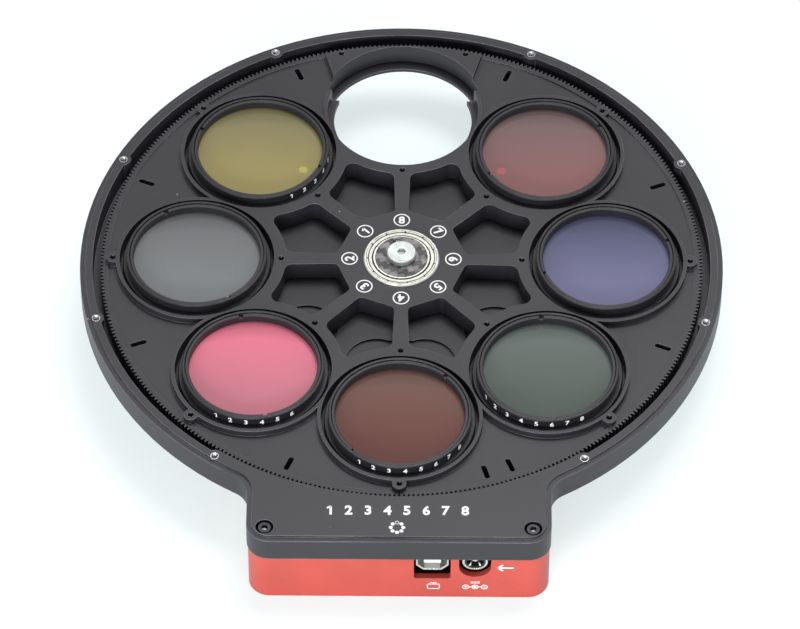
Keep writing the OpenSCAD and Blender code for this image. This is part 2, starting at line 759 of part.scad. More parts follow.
module housing() color("#4b4b50") at_axis() difference() {
    union() {
        slab(body_bottom, -ledge_drop) body_2d(0);
        slab(-ledge_drop - eps, 0) body_2d(ledge_w);
    }
    wheel_cavity();
    pinion_pocket();
    difference() {
        board_cavity();
        board_posts();
    }
    at_cover_holes() rod(cover_tap_r, -cover_tap_depth, 1);
    // Light path
    translate([0, station_r, 0]) {
        intersection() {
            rod(relief_r, floor_top - relief_d, floor_top + 1);
            translate([0, -station_r, 0]) rod(cavity_r - 1, body_bottom, 1);
        }
        rod(aperture_r, body_bottom - 1, 1);
        translate([0, 0, body_bottom]) cylinder(r1 = aperture_r + aperture_chamfer, r2 = aperture_r, h = aperture_chamfer);
        four_ways(small_tap_x, small_tap_y) rod(tap_r, body_bottom - 1, floor_top + 1);
        four_ways(adapter_x, adapter_y) adapter_hole();
    }
    // Hub
    rod(post_foot_r + fit_gap, body_bottom - 1, 1);
    // Base screws
    both_sides(front_screw_x, -front_screw_y) {
        rod(front_head_r + 2 * free_gap, -front_head_h - screw_sink, 1);
        rod(front_thread_r + 0.1, body_bottom - 1, 1);
    }
    both_sides(rear_screw_x, -rear_screw_y) {
        rod(recess_r, floor_top - recess_d, floor_top + 1);
        rod(front_thread_r + 0.1, body_bottom - 1, floor_top);
    }
    // Two joined recesses in the floor
    both_sides(twin_x, -twin_y) rod(recess_r, floor_top - recess_d, floor_top + 1);
    translate([-twin_x, -twin_y - recess_r + twin_waist, floor_top - recess_d])
        cube([2 * twin_x, 2 * (recess_r - twin_waist), recess_d + 1]);
    // Motor
    translate([-pinion_x, pinion_y, 0]) rod(3.5 + fit_gap, body_bottom - 1, floor_top + 1);
    motor_screw_places() rod(small_thread_r + fit_gap, body_bottom - 1, floor_top + 1);
    // Openings over the sensor board and for its cable
    translate([sensor_x, sensor_y, 0]) {
        slab(body_bottom - 1, floor_top + 1) round_box(window_l, window_w, 1.5);
        both_sides(sensor_screw_dx, 0) rod(board_thread_r + fit_gap, body_bottom - 1, floor_top + 1);
    }
    translate([cable_x, cable_y, 0]) 
        slab(body_bottom - 1, floor_top + 1) round_box(cable_l, cable_w, 2);
    translate([board_x, board_y, 0]) both_sides(board_screw_x, 0)
        rod(board_thread_r + fit_gap, board_top - 1, board_top + 3.4);
}

module front_screw(side) color("#303236") at_axis()
    translate([side * front_screw_x, -front_screw_y, -front_head_h - screw_sink])
        cap_screw(head_r = front_head_r, head_h = front_head_h, thread_r = front_thread_r - fit_gap,
            length = front_screw_l, socket_r = 1.2);

module rear_screw(side) color("#9a9da1") at_axis()
    translate([side * rear_screw_x, -rear_screw_y, floor_top - recess_d])
        cap_screw(head_r = rear_head_r, head_h = rear_head_h, thread_r = front_thread_r - fit_gap,
            length = rear_screw_l, socket_r = 1);

// ---------- electronics base ----------

module base_2d(inset) {
    w = tab_w / 2 - base_inset - inset;
    y0 = base_front_y + inset;
    y1 = -base_back - inset;
    r = tab_corner_r - base_inset - inset;
    translate([0, (y0 + y1) / 2]) round_box(2 * w, y1 - y0, r);
}

module base() color("#ec6455") at_axis() difference() {
    post_r = 4.2;
    union() {
        difference() {
            slab(base_bottom, body_bottom) base_2d(0);
            slab(base_bottom + base_floor, body_bottom + 1) base_2d(base_wall);
        }
        intersection() {
            slab(base_bottom, body_bottom) base_2d(0);
            both_sides(front_screw_x, -front_screw_y) rod(post_r, base_bottom + base_floor - eps, body_bottom);
        }
        both_sides(rear_screw_x, -rear_screw_y) rod(post_r, base_bottom + base_floor - eps, body_bottom);
    }
    both_sides(front_screw_x, -front_screw_y) rod(front_thread_r, body_bottom - 9.5, body_bottom + 1);
    both_sides(rear_screw_x, -rear_screw_y) rod(front_thread_r, body_bottom - 8.5, body_bottom + 1);
    port_notch(usb_x, usb_w / 2 + usb_side_gap, port_bottom - usb_low_gap, 1);
    port_notch(jack_x, jack_r + jack_side_gap, jack_z - jack_r - jack_low_gap, jack_r + jack_side_gap);
}

// Opening for a socket, of the given half width, open at the top and round at its lower corners
module port_notch(x, half, low, r)
    translate([x, base_front_y - 1, 0]) rotate([-90, 0, 0]) mirror([0, 1, 0]) linear_extrude(base_wall + 2) {
        translate([-half, low + r]) square([2 * half, body_bottom + 1 - low - r]);
        for (side = [-1, 1]) translate([side * (half - r), low + r]) circle(r);
        if (half > r) translate([r - half, low]) square([2 * (half - r), 2 * r]);
    }

// ---------- boards and sockets ----------

module main_board() color("#2f7a4f") at_axis() translate([board_x, board_y, 0]) difference() {
    slab(board_bottom, board_top) square([board_l, board_w], center = true);
    both_sides(board_screw_x, 0) rod(board_thread_r + 0.15, board_bottom - 1, board_top + 1);
}

module board_screw(side) color("#9a9da1") at_axis()
    translate([board_x + side * board_screw_x, board_y, board_bottom]) rotate([180, 0, 0])
        cap_screw(head_r = 1.8, head_h = 1.2, thread_r = board_thread_r, length = board_t + 3, socket_r = 0.8);

// The shell narrows at its lower corners, as the plug does.
module usb_outline_2d(inset) {
    w = usb_w / 2 - inset;
    h0 = port_bottom + inset;
    h1 = board_bottom - inset;
    c = 2.4;
    polygon([[-w, h1], [-w, h0 + c], [-w + c, h0], [w - c, h0], [w, h0 + c], [w, h1]]);
}

module facing_front(x, y, l) translate([x, y, 0]) rotate([-90, 0, 0]) mirror([0, 1, 0]) linear_extrude(l) children();

usb_skin = 0.5;
usb_back = 1.5;

module usb_shell() color("#c3c6c8") at_axis() difference() {
    facing_front(usb_x, port_front_y, port_l) usb_outline_2d(0);
    facing_front(usb_x, port_front_y - 1, port_l + 1 - usb_back) usb_outline_2d(usb_skin);
}

module usb_tongue() color("#f2f2ef") at_axis() facing_front(usb_x, port_front_y + 0.8, port_l - usb_back - 0.8)
    translate([-2.8, port_bottom + 2.8]) square([5.6, 3.2]);

jack_bore_r = 2.9;
jack_collar_l = 3;
jack_collar_w = 0.7;
jack_z = board_bottom - jack_drop;

module jack_ring() color("#c3c6c8") at_axis() facing_front(jack_x, port_front_y, jack_collar_l)
    translate([0, jack_z]) difference() {
        circle(jack_r);
        circle(jack_r - jack_collar_w);
    }

module dc_jack() color("#232427") at_axis() difference() {
    block = jack_r + 0.2;
    union() {
        facing_front(jack_x, port_front_y + 0.2, jack_collar_l) translate([0, jack_z]) circle(jack_r - jack_collar_w - fit_gap);
        facing_front(jack_x, port_front_y + jack_collar_l, port_l - jack_collar_l)
            translate([-block, jack_z - block]) square([2 * block, board_bottom - jack_z + block]);
    }
    facing_front(jack_x, port_front_y - 1, 10) translate([0, jack_z]) circle(jack_bore_r);
}

module dc_pin() color("#c9cbcd") at_axis()
    facing_front(jack_x, port_front_y + 1, 8) translate([0, jack_z]) circle(1);

module sensor_board() color("#2f7a4f") at_axis() translate([sensor_x, sensor_y, 0]) difference() {
    slab(body_bottom - board_t, body_bottom) square([sensor_l, sensor_w], center = true);
    both_sides(sensor_screw_dx, 0) rod(board_thread_r + 0.15, body_bottom - board_t - 1, 0);
}

module home_sensor() color("#1f2023") at_axis() translate([sensor_x + 1, sensor_y - 2.6, 0])
    slab(body_bottom, floor_top - 0.2) square([9, 3.2], center = true);

module sensor_screw(side) color("#9a9da1") at_axis()
    translate([sensor_x + side * sensor_screw_dx, sensor_y, body_bottom - board_t]) rotate([180, 0, 0])
        cap_screw(head_r = 1.8, head_h = 1.2, thread_r = board_thread_r, length = board_t + floor_t - 0.3, socket_r = 0.8);

// ---------- motor ----------

module motor() color("#a9acae") at_axis() translate([-pinion_x, pinion_y, 0]) difference() {
    ear_r = 3.4;
    flange_z = body_bottom - motor_flange_t;
    union() {
        slab(flange_z, body_bottom) {
            square([2 * motor_screw_x, 2 * ear_r], center = true);
            both_sides(motor_screw_x, 0) circle(ear_r);
            circle(motor_r - 1);
        }
        rod(motor_r, flange_z - motor_h, flange_z + eps);
        rod(3.5, flange_z, floor_top - 0.6);
    }
    both_sides(motor_screw_x, 0) rod(small_thread_r + 0.2, flange_z - 1, 0);
    rod(shaft_r + run_gap, flange_z - motor_h + 2, 0);
}

module motor_shaft() color("#cfd1d3") at_axis() translate([-pinion_x, pinion_y, 0])
    rod(shaft_r, body_bottom - motor_flange_t - motor_h + 2.1, pinion_top - 0.2);

module motor_screw(side) color("#9a9da1") at_axis()
    translate([-pinion_x + side * motor_screw_x, pinion_y, body_bottom - motor_flange_t]) rotate([180, 0, 0])
        cap_screw(head_r = 2.2, head_h = 1.5, thread_r = small_thread_r, length = motor_flange_t + floor_t - 0.3, socket_r = 1);

module pinion() color("#b79a55") at_axis() translate([-pinion_x, pinion_y, 0]) difference() {
    union() {
        slab(pinion_bottom, pinion_top) pinion_teeth_2d();
        rod(2.6, pinion_bottom - 0.6, pinion_bottom + eps);
    }
    rod(shaft_r + 0.02, pinion_bottom - 1, pinion_top + 1);
}

housing();
base();
front_screw(-1);  // front_screw_l
front_screw(1);  // front_screw_r
rear_screw(-1);  // rear_screw_l
rear_screw(1);  // rear_screw_r
hub_post();
post_screw();
bearing_inner();
bearing_balls();
washer();
hub_screw();
main_board();
board_screw(-1);  // board_screw_l
board_screw(1);  // board_screw_r
usb_shell();
usb_tongue();
dc_jack();
jack_ring();
dc_pin();
sensor_board();
home_sensor();
sensor_screw(-1);  // sensor_screw_l
sensor_screw(1);  // sensor_screw_r
motor();
motor_screw(-1);  // motor_screw_l
motor_screw(1);  // motor_screw_r
wheel();
bearing_outer();
shield_top();
shield_bottom();
filter_cell(1);  // cell_1
filter_cell(2);  // cell_2
filter_cell(3);  // cell_3
filter_cell(4);  // cell_4
filter_cell(5);  // cell_5
filter_cell(6);  // cell_6
filter_cell(7);  // cell_7
filter_glass(1, "#a0965f");  // glass_1
filter_glass(2, "#7d8282");  // glass_2
filter_glass(3, "#eb7896");  // glass_3
filter_glass(4, "#784b41");  // glass_4
filter_glass(5, "#647364");  // glass_5
filter_glass(6, "#78769b");  // glass_6
filter_glass(7, "#916969");  // glass_7
retaining_ring(1);  // retainer_1
retaining_ring(2);  // retainer_2
retaining_ring(3);  // retainer_3
retaining_ring(4);  // retainer_4
retaining_ring(5);  // retainer_5
retaining_ring(6);  // retainer_6
retaining_ring(7);  // retainer_7
pinion();
motor_shaft();
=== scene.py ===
"""Looks of a motorised optical filter wheel: finishes, printed marks, threads, contacts and light.

Pieces are placed from the CAD frame, in metres. The wheel turns about AXIS, and WHEEL_TOP is its top face.
"""

import json
import math

import bmesh
import bpy
from mathutils import Matrix, Vector


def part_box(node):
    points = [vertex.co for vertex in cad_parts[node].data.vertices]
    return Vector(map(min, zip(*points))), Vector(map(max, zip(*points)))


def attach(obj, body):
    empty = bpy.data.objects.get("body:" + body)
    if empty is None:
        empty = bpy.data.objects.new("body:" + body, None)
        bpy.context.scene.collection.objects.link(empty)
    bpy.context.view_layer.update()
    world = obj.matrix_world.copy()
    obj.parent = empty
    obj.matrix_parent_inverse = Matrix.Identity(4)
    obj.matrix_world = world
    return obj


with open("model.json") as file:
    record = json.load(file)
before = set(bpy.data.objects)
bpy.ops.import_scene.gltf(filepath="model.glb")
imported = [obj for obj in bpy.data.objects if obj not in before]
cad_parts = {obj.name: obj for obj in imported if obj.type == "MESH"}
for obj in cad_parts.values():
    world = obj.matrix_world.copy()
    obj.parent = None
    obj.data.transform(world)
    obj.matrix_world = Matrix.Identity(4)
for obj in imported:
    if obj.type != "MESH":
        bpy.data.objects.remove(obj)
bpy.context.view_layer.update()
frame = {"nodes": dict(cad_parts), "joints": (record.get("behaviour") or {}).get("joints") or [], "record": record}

MM = 0.001
HOUSING = "housing_body"
WHEEL = "wheel_body"


# ---------- places taken from the frame ----------


def middle(node):
    """Middle of a CAD node's box."""
    low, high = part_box(node)
    return (low + high) / 2


AXIS = Vector(frame["joints"][0]["pos_m"])
WHEEL_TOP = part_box("wheel")[1].z
STATIONS = 8
FILTERS = range(1, STATIONS)
STATION_R = (middle("glass_1") - AXIS).to_2d().length
STATION_STEP = math.tau / STATIONS


def station_angle(n):
    """Angle of station n about the axis. Stations count counter-clockwise and the last one is at the back."""
    return math.pi / 2 + n * STATION_STEP


def at_polar(radius, angle, z=WHEEL_TOP):
    """A place in the row frame, from its distance and angle about the wheel's axis."""
    return Vector((AXIS.x + radius * math.cos(angle), AXIS.y + radius * math.sin(angle), z))


def from_axis(x, y, z=0.0):
    """A place in the row frame, from millimetres counted from the axis and the wheel's top face."""
    return Vector((AXIS.x + x * MM, AXIS.y + y * MM, WHEEL_TOP + z * MM))


# ---------- shader maths ----------


def operator(name, swapped=False):
    """A method that adds a Math node. Swapped, the value stands on the right of the sign."""

    def method(self, other):
        first, second = (other, self) if swapped else (self, other)
        return self.finish.math(name, first, second)

    return method


class Value:
    """A node's output. A sum written on it adds Math nodes, so that a pattern reads as a formula."""

    def __init__(self, finish, link):
        self.finish = finish
        self.link = link

    __add__ = operator("ADD")
    __radd__ = operator("ADD", swapped=True)
    __sub__ = operator("SUBTRACT")
    __rsub__ = operator("SUBTRACT", swapped=True)
    __mul__ = operator("MULTIPLY")
    __truediv__ = operator("DIVIDE")
    __pow__ = operator("POWER")
    __lt__ = operator("LESS_THAN")
    __gt__ = operator("GREATER_THAN")


class Finish:
    """One procedural material. Its methods add nodes, and paint() feeds them to the shader."""

    def __init__(self, name, colour, roughness, metallic=0.0):
        self.material = bpy.data.materials.new(name)
        self.material.use_nodes = True
        self.tree = self.material.node_tree
        self.shader = self.tree.nodes["Principled BSDF"]
        self.colour = colour
        self.roughness = roughness
        self.paint({"Base Color": colour, "Roughness": roughness, "Metallic": metallic})

    def node(self, kind, settings=None, sockets=None, out=0):
        """Adds a node: its settings first, then the values or links of its sockets."""
        made = self.tree.nodes.new(kind)
        for key, value in (settings or {}).items():
            if key == "stops":
                self.set_stops(made.color_ramp, value)
            else:
                setattr(made, key, value)
        for key, value in (sockets or {}).items():
            self.feed(made.inputs[key], value)
        return Value(self, made.outputs[out])

    def feed(self, socket, value):
        if isinstance(value, Value):
            self.tree.links.new(value.link, socket)
        else:
            socket.default_value = value

    def set_stops(self, ramp, stops):
        while len(ramp.elements) < len(stops):
            ramp.elements.new(0.5)
        for element, (place, colour) in zip(ramp.elements, stops):
            element.position = place
            element.color = colour

    def math(self, operation, first, second=0.0):
        return self.node("ShaderNodeMath", {"operation": operation}, {0: first, 1: second})

    def surface(self):
        """What the main shader gives."""
        return Value(self, self.shader.outputs[0])

    def mix(self, share, first, second):
        """A mix of two shaders: first where the share is 0 and second where it is 1."""
        return self.node("ShaderNodeMixShader", None, {0: share, 1: first, 2: second})

    def show(self, result):
        """Makes a shader the material's own."""
        self.feed(self.tree.nodes["Material Output"].inputs["Surface"], result)

    def paint(self, sockets):
        for key, value in sockets.items():
            self.feed(self.shader.inputs[key], value)

    def place(self, centre=(0.0, 0.0, 0.0)):
        """Position on the piece, in metres, counted from a centre."""
        spot = self.node("ShaderNodeTexCoord", out="Object")
        return self.node("ShaderNodeMapping", None, {"Vector": spot, "Location": [-c for c in centre]})

    def parts_of(self, vector):
        split = self.node("ShaderNodeSeparateXYZ", None, {"Vector": vector}).link.node
        return [Value(self, split.outputs[i]) for i in range(3)]

    def station_place(self):
        """X and Y from the middle of the nearest station, so that one pattern serves all of them."""
        x, y, z = self.parts_of(self.place(AXIS))
        radius = distance(x, y)
        angle = self.math("ARCTAN2", y, x)
        turned = angle - self.math("ROUND", angle / STATION_STEP) * STATION_STEP
        across = radius * self.math("COSINE", turned) - STATION_R
        along = radius * self.math("SINE", turned)
        return across, along, z

    def noise(self, scale, detail=2.0, roughness=0.5):
        sockets = {"Vector": self.place(), "Scale": scale, "Detail": detail, "Roughness": roughness}
        return self.node("ShaderNodeTexNoise", None, sockets)

    def blend(self, mask, first, second):
        """first where mask is 0 and second where it is 1."""
        return self.node("ShaderNodeMix", {"data_type": "RGBA"}, {0: mask, 6: first, 7: second}, out=2)

    def between(self, value, low, high):
        """value moved from low..high to 0..1 and held there."""
        return self.node("ShaderNodeMapRange", None, {"Value": value, "From Min": low, "From Max": high})

    def bump(self, height, depth, normal=None):
        sockets = {"Height": height, "Distance": depth}
        if normal:
            sockets["Normal"] = normal
        return self.node("ShaderNodeBump", None, sockets)

    def rounded_normal(self, radius):
        """The normal as if edges were rounded to that radius."""
        return self.node("ShaderNodeBevel", {"samples": 4}, {"Radius": radius})

    def soft_edges(self, radius):
        """The normal with edges rounded to that radius, and a mask that is 1 on them."""
        rounded = self.rounded_normal(radius)
        flat = self.node("ShaderNodeNewGeometry", out="Normal")
        same = self.node("ShaderNodeVectorMath", {"operation": "DOT_PRODUCT"}, {0: rounded, 1: flat}, out=1)
        return rounded, self.between(1 - same, EDGE_BEGINS, EDGE_FULL)

    def specks(self, spacing, share):
        """Small dust specks: one cell in a few holds one."""
        sockets = {"Vector": self.place(), "Scale": 1 / spacing}
        cells = self.node("ShaderNodeTexVoronoi", None, sockets).link.node
        size = Value(self, cells.outputs["Distance"]) < SPECK_R
        picked = self.parts_of(Value(self, cells.outputs["Color"]))[0] > 1 - share
        return size * picked


def distance(x, y):
    """Distance from the middle, for two values across the axis."""
    return (x * x + y * y) ** 0.5


def srgb(red, green, blue):
    """A colour as it should look on screen, from 0 to 255, as the linear values that a shader takes."""

    def linear(v):
        v = v / 255
        return v / 12.92 if v <= 0.04045 else ((v + 0.055) / 1.055) ** 2.4

    return (linear(red), linear(green), linear(blue), 1.0)


def scaled(colour, factor):
    return tuple(min(1.0, c * factor) for c in colour[:3]) + (1.0,)


# ---------- finishes ----------

WHITE = (1.0, 1.0, 1.0, 1.0)
# Painted shade for the dark lines in the gaps between a bearing's rings
GAP_SHADE_COLOUR = (0.06, 0.058, 0.052, 1.0)

# How far a rounded normal leans where a pale edge, painted highlight and abrasion, begins and where it is full
EDGE_BEGINS = 0.01
EDGE_FULL = 0.2

# Dust: radius of a speck as a share of its cell, width of a cell, and share of the cells that hold one
SPECK_R = 0.035
DUST_SPACING = 0.007
DUST_SHARE = 0.22

TURNING_PITCH = 0.00021
CARBON_STRAND = 0.0019
CARBON_FIBRE = 0.00016
TRACK_PITCH = 0.0016

# Filter glass, from its middle: where the rim is painted darker as shade, the ring's painted shadow at the back,
# and the painted change of light and shade from the front's colour to the back's
GLASS_RIM = (0.0215, 0.0229)
GLASS_SHADE = (0.02, 0.034)
GLASS_FADE = (-0.009, 0.015)


def anodised(name, colour, roughness, edge_light, edge_radius):
    """Bead-blasted and anodised: fine grain, faint clouds in the dyed colour, edges painted paler as a highlight
    and as abrasion, a little dust.
    """
    finish = Finish(name, colour, roughness)
    clouds = finish.noise(45.0, 4.0, 0.6)
    grain = finish.noise(5200.0, 1.0)
    rounded, edge = finish.soft_edges(edge_radius)
    dyed = finish.blend(finish.between(clouds, 0.3, 0.7), scaled(colour, 0.9), scaled(colour, 1.12))
    # Paler edges: a painted highlight, patchy like abrasion.
    edge_highlight_and_wear = edge * edge_light * finish.between(clouds, 0.25, 0.6)
    edge_lit_and_worn = finish.blend(edge_highlight_and_wear, dyed, scaled(colour, 20.0))
    dust = finish.specks(DUST_SPACING, DUST_SHARE)
    finish.paint(
        {
            "Base Color": finish.blend(dust, edge_lit_and_worn, scaled(WHITE, 0.45)),
            "Roughness": roughness + (clouds - 0.5) * 0.16 + (grain - 0.5) * 0.12,
            "Normal": finish.bump(grain, 0.000014, rounded),
        }
    )
    return finish.material


def turned_black(name, colour, roughness):
    """Black anodising over a turned surface: fine rings round each station's middle, and edges painted paler as a
    highlight.
    """
    finish = Finish(name, colour, roughness)
    across, along, z = finish.station_place()
    radius = distance(across, along)
    rings = finish.math("SINE", (radius + z * 0.7) * (math.tau / TURNING_PITCH))
    drift = finish.noise(220.0, 3.0)
    rounded, edge = finish.soft_edges(0.00022)
    # Edges are painted paler: a painted highlight.
    finish.paint(
        {
            "Base Color": finish.blend(edge * 0.5, scaled(colour, 1.0), scaled(colour, 4.0)),
            "Roughness": roughness + (drift - 0.5) * 0.15 + rings * 0.03,
            "Normal": finish.bump(rings * drift, 0.000006, rounded),
        }
    )
    return finish.material


def filter_glass(name, upper, lower, seen, veil, centre):
    """Dyed glass: its colour at the back and the front, which differ as painted light and shade, the colour it
    lets through, and how much it veils.
    """
    finish = Finish(name, lower, 0.06)
    x, y, z = finish.parts_of(finish.place(centre))
    radius = distance(x, y)
    haze = finish.noise(35.0, 3.0, 0.55)
    # The rim is painted darker: painted shade where the cell meets the glass.
    rim = finish.between(radius, *GLASS_RIM)
    # Painted shadow of the ring across the back of the glass.
    ring_shadow_mask = finish.between(y + radius * 0.45, *GLASS_SHADE)
    dye_and_painted_light = finish.blend(haze, scaled(lower, 0.9), scaled(lower, 1.08))
    # Painted light and shade: the colour goes from the front's to the back's.
    dye_and_painted_light = finish.blend(finish.between(y, *GLASS_FADE), dye_and_painted_light, upper)
    shaded = finish.blend(ring_shadow_mask, dye_and_painted_light, scaled(upper, 0.45))
    finish.paint(
        {
            "Base Color": finish.blend(rim, shaded, scaled(upper, 0.3)),
            "Roughness": 0.05 + haze * 0.03,
            "Coat Weight": 0.4,
            "Coat Roughness": 0.02,
        }
    )
    clear = finish.node("ShaderNodeBsdfTransparent", None, {"Color": seen})
    cover = (veil + rim * (1 - veil) * 0.6) * (z > 0.0)
    finish.show(finish.mix(cover, clear, finish.surface()))
    return finish.material


def turned_steel(name, colour, roughness, ring_pitch, grooves=()):
    """Turned metal with fine rings round the axis. Grooves are dark lines of painted shade in the gaps between
    rings: radius and half width.
    """
    finish = Finish(name, colour, roughness, 1.0)
    x, y, _ = finish.parts_of(finish.place(AXIS))
    radius = distance(x, y)
    gap_shade_mask = 0.0
    # Painted shade: a dark line at each groove.
    for groove_r, half in grooves:
        off = finish.math("ABSOLUTE", radius - groove_r)
        gap_shade_mask = finish.math("MAXIMUM", 1 - finish.between(off, half * 0.6, half * 1.3), gap_shade_mask)
    rings = finish.math("SINE", radius * (math.tau / ring_pitch))
    smear = finish.noise(420.0, 3.0)
    steel = finish.blend(finish.between(smear, 0.3, 0.75), scaled(colour, 0.86), scaled(colour, 1.05))
    finish.paint(
        {
            "Base Color": finish.blend(gap_shade_mask, steel, GAP_SHADE_COLOUR),
            "Roughness": roughness + (smear - 0.5) * 0.18 + rings * 0.03,
            "Normal": finish.bump(rings + smear, 0.000003),
        }
    )
    return finish.material


def plain_metal(name, colour, roughness):
    """Small metal parts: plated or blackened, with a faint uneven sheen."""
    finish = Finish(name, colour, roughness, 1.0)
    smear = finish.noise(700.0, 3.0)
    rounded = finish.rounded_normal(0.00012)
    sheen = finish.blend(finish.between(smear, 0.3, 0.7), scaled(colour, 0.85), scaled(colour, 1.1))
    finish.paint(
        {
            "Base Color": sheen,
            "Roughness": roughness + (smear - 0.5) * 0.2,
            "Normal": finish.bump(smear, 0.000008, rounded),
        }
    )
    return finish.material


def woven_carbon(name):
    """Twill weave under clear resin: strands run two ways and catch the light in turn."""
    finish = Finish(name, srgb(60, 60, 62), 0.32)
    x, y, _ = finish.parts_of(finish.place(AXIS))
    u = x * 0.94 + y * 0.34
    v = y * 0.94 - x * 0.34
    crossing = finish.math("FLOOR", u / CARBON_STRAND) + finish.math("FLOOR", v / CARBON_STRAND)
    over = finish.math("FLOORED_MODULO", crossing, 4.0) < 1.5
    fibres_u, fibres_v = (finish.math("SINE", way * (math.tau / CARBON_FIBRE)) for way in (v, u))
    fibres = over * fibres_u + (1 - over) * fibres_v
    cloud = finish.between(finish.noise(420.0, 3.0), 0.3, 0.7)
    dark = finish.blend(cloud, srgb(50, 49, 49), srgb(96, 94, 94))
    pale = finish.blend(cloud, srgb(76, 74, 74), srgb(150, 147, 146))
    finish.paint(
        {
            "Base Color": finish.blend(over, dark, pale),
            "Roughness": 0.36 + fibres * 0.06,
            "Coat Weight": 0.3,
            "Normal": finish.bump(fibres + over * 2.0, 0.00001),
        }
    )
    return finish.material


def solder_mask(name):
    """Green board: tracks under the mask and tinned pads."""
    finish = Finish(name, srgb(32, 110, 70), 0.35)
    x, y, _ = finish.parts_of(finish.place())
    bend = finish.noise(160.0, 1.0)
    lane = x + finish.math("ABSOLUTE", y + bend * 0.004)
    lanes = finish.math("SINE", lane * (math.tau / TRACK_PITCH))
    tracks = finish.between(lanes, 0.55, 0.7)
    finish.paint(
        {
            "Base Color": finish.blend(tracks, srgb(22, 92, 58), srgb(46, 132, 84)),
            "Roughness": 0.34 + bend * 0.08,
            "Coat Weight": 0.3,
            "Normal": finish.bump(tracks, 0.00003),
        }
    )
    return finish.material


def moulded(name, colour, roughness):
    """Moulded plastic with a fine spark-eroded texture."""
    finish = Finish(name, colour, roughness)
    grain = finish.noise(3000.0, 2.0)
    cloud = finish.noise(150.0, 2.0)
    rounded = finish.rounded_normal(0.00015)
    finish.paint(
        {
            "Base Color": finish.blend(cloud, scaled(colour, 0.92), scaled(colour, 1.06)),
            "Roughness": roughness + (grain - 0.5) * 0.2,
            "Normal": finish.bump(grain, 0.000012, rounded),
        }
    )
    return finish.material


def screen_print(name, colour):
    """Printed ink: slightly uneven cover and a soft sheen."""
    finish = Finish(name, colour, 0.5)
    cover = finish.noise(1500.0, 3.0)
    finish.paint(
        {
            "Base Color": finish.blend(finish.between(cover, 0.2, 0.75), scaled(colour, 0.9), colour),
            "Roughness": 0.42 + cover * 0.2,
            "Normal": finish.bump(cover, 0.000008),
        }
    )
    return finish.material


ANODISED_BLACK = srgb(37, 37, 42)
ANODISED_RED = srgb(178, 68, 58)
TURNED_BLACK = srgb(32, 32, 36)

# For each glass: its colour at the back and at the front, which differ as painted light and shade, and the colour
# it lets through.
GLASS = {
    "glass_1": (srgb(146, 138, 100), srgb(172, 160, 103), (1.0, 0.86, 0.22, 1.0)),
    "glass_2": (srgb(122, 123, 126), srgb(139, 143, 145), (0.75, 0.8, 0.8, 1.0)),
    "glass_3": (srgb(252, 134, 160), srgb(224, 136, 154), (1.0, 0.2, 0.4, 1.0)),
    "glass_4": (srgb(128, 94, 86), srgb(120, 75, 68), (0.9, 0.2, 0.12, 1.0)),
    "glass_5": (srgb(112, 123, 119), srgb(98, 110, 103), (0.3, 0.6, 0.35, 1.0)),
    "glass_6": (srgb(90, 94, 124), srgb(132, 130, 168), (0.4, 0.38, 0.9, 1.0)),
    "glass_7": (srgb(132, 109, 109), srgb(156, 110, 110), (1.0, 0.25, 0.15, 1.0)),
}
GLASS_VEIL = 0.74

# Radius and half width of the dark lines painted as shade between the bearing's rings
RACE_GROOVES = ((12.02 * MM, 0.1 * MM), (8.9 * MM, 0.14 * MM))
SHIELD_GROOVES = ((11.28 * MM, 0.2 * MM), (10.0 * MM, 0.22 * MM))

finishes = {
    "black_housing": anodised("black_anodised_housing", ANODISED_BLACK, 0.44, 0.7, 0.00045),
    "black_wheel": anodised("black_anodised_wheel", ANODISED_BLACK, 0.44, 0.7, 0.0003),
    "red_base": anodised("red_anodised_base", ANODISED_RED, 0.4, 0.1, 0.0003),
    "cell_black": turned_black("turned_black_cell", TURNED_BLACK, 0.3),
    "ring_black": turned_black("turned_black_retainer", TURNED_BLACK, 0.4),
    "post_aluminium": turned_steel("turned_aluminium_post", srgb(214, 215, 217), 0.3, 0.0002),
    "bearing_steel": turned_steel("ground_bearing_steel", srgb(238, 238, 229), 0.3, 0.0009, RACE_GROOVES),
    "shield_steel": turned_steel("pressed_shield_steel", srgb(242, 242, 233), 0.3, 0.0011, SHIELD_GROOVES),
    "bright_steel": turned_steel("plated_hub_screw_steel", srgb(214, 220, 218), 0.34, 0.0007),
    "plain_steel": plain_metal("plated_screw_steel", srgb(190, 191, 193), 0.3),
    "black_screw": plain_metal("blackened_screw_steel", srgb(62, 62, 66), 0.38),
    "motor_steel": plain_metal("motor_can_steel", srgb(196, 198, 200), 0.3),
    "pinion_brass": plain_metal("pinion_brass", srgb(214, 178, 96), 0.28),
    "carbon_fibre": woven_carbon("woven_carbon_washer"),
    "circuit_board": solder_mask("green_solder_mask"),
    "socket_metal": plain_metal("socket_plating", srgb(222, 223, 222), 0.2),
    "white_plastic": moulded("white_socket_plastic", srgb(238, 240, 238), 0.45),
    "black_plastic": moulded("black_socket_plastic", srgb(38, 38, 40), 0.45),
}
for glass_name, (glass_upper, glass_lower, glass_seen) in GLASS.items():
    finishes[glass_name] = filter_glass(
        "filter_" + glass_name, glass_upper, glass_lower, glass_seen, GLASS_VEIL, middle(glass_name)
    )

white_ink = screen_print("white_print", srgb(240, 241, 242))

for part in frame["record"]["subparts"]:
    node = frame["nodes"][part["node"]]
    node.data.materials.clear()
    node.data.materials.append(finishes[part["material_slot"]])


# ---------- camera, floor and light ----------

# Heights of the camera and of its target are counted from the wheel's top face
CAMERA_PLACE = (0.00546, -1.22287, 1.39524)
CAMERA_TARGET = (-0.00031, -0.01868, 0.0)
CAMERA_ROLL = math.radians(0.2)
CAMERA_LENS = 244.5
SENSOR_WIDTH = 36.0

FLOOR_SIZE = 6.0
FLOOR_DROP = 0.0002
FLOOR_GLOW = (1.03, 1.15, 1.16, 1.0)
FLOOR_GLOW_SHARE = 0.6

